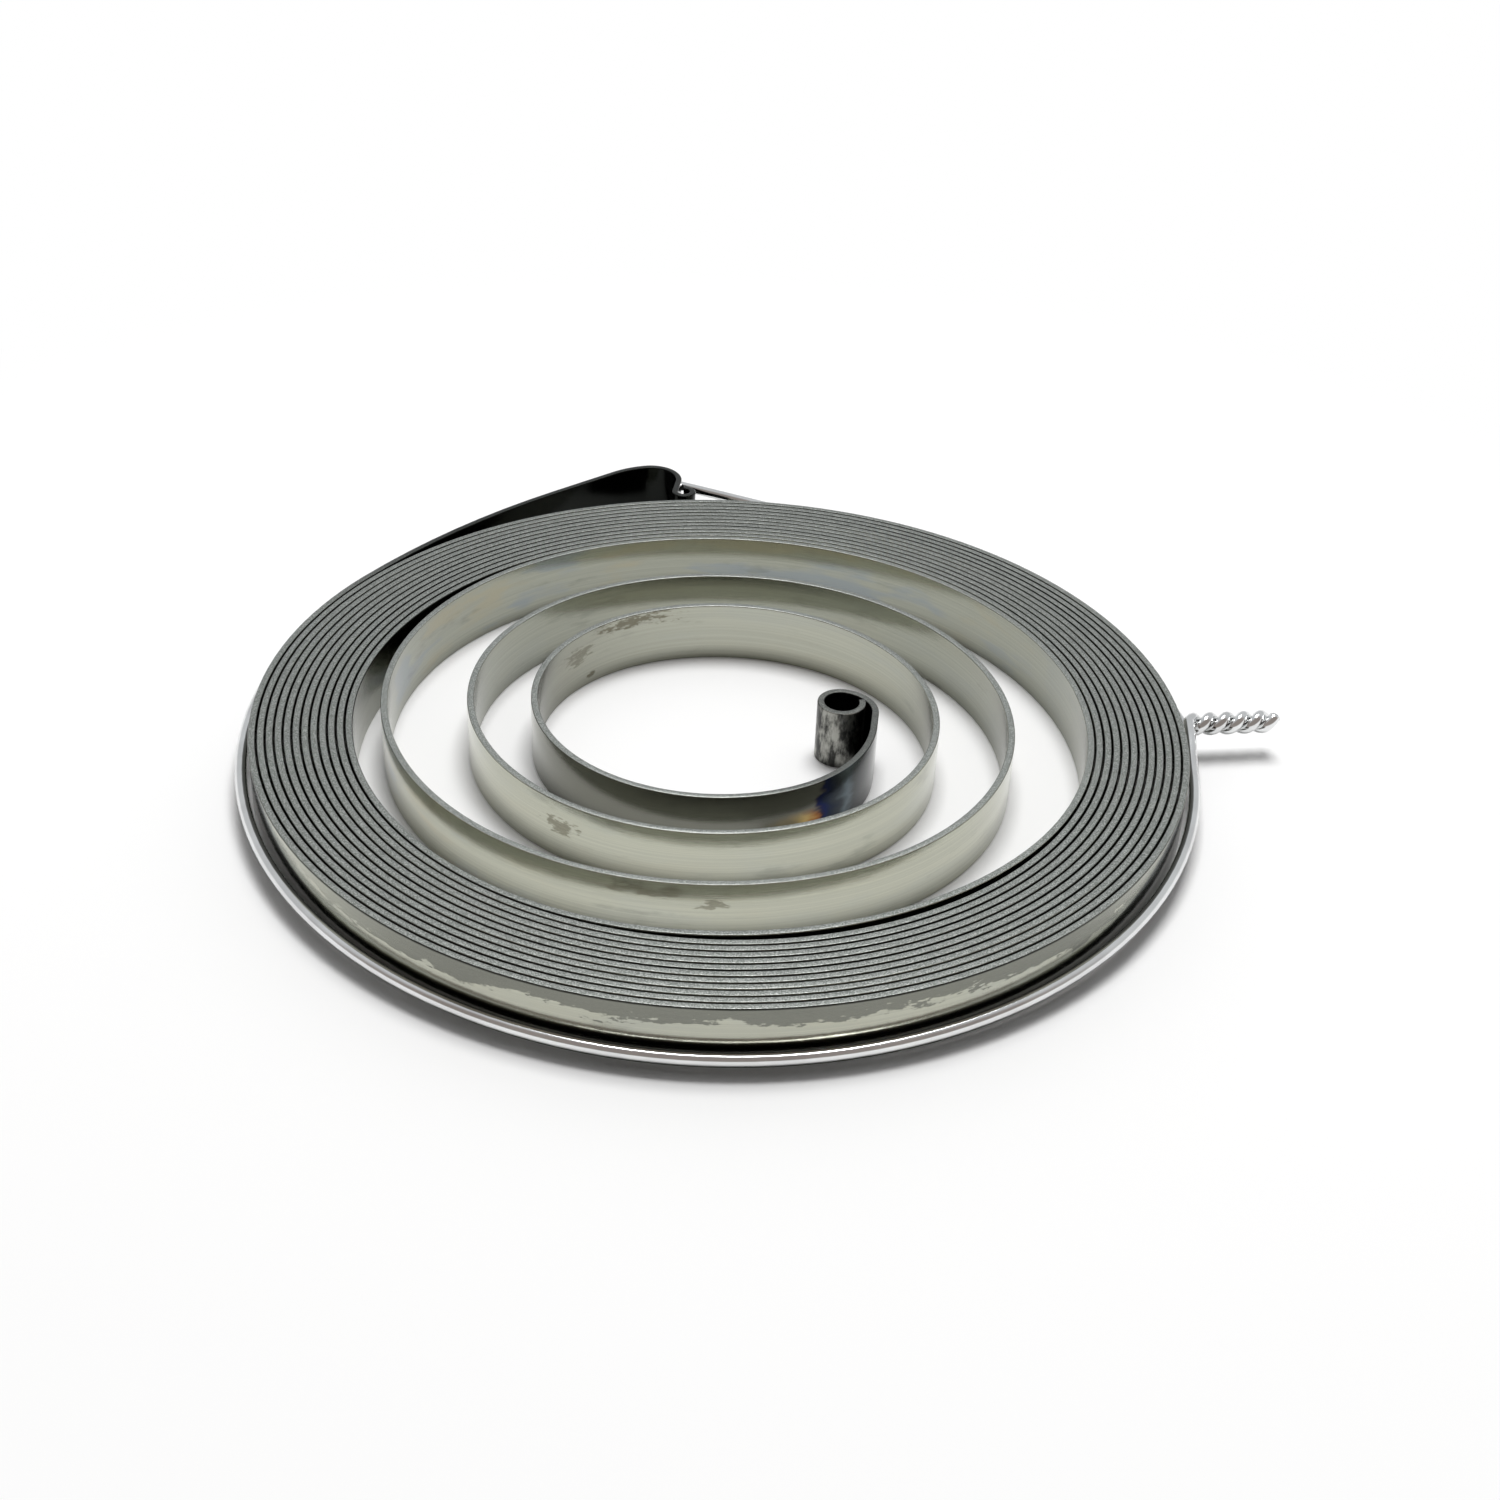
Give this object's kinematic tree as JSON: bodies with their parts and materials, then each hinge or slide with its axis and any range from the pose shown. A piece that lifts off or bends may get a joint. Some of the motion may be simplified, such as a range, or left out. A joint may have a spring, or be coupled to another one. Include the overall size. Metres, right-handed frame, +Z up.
{
  "type": "recoil starter spring",
  "caption": "Flat spiral spring of steel strip with a rolled inner eye and a bent outer hook, tied wound with a twisted wire, for a pull-cord recoil starter.",
  "frame": {"origin": "axis of the packed coil, on the plane of the strip's lower edges", "axes": "+Z up along the coil's axis; +Y away from the picture's camera, towards the outer hook; +X to the right, towards the twisted wire ends"},
  "size_m": [0.0899, 0.0887, 0.0055],
  "materials": {
    "spring_steel": "bright rolled spring steel with a lengthwise grain, heat tinted at the inner end",
    "tie_wire": "bright drawn wire"
  },
  "bodies": {
    "root": {"spring_strip": "spring_steel", "retaining_wire": "tie_wire"}
  },
  "joints": []
}
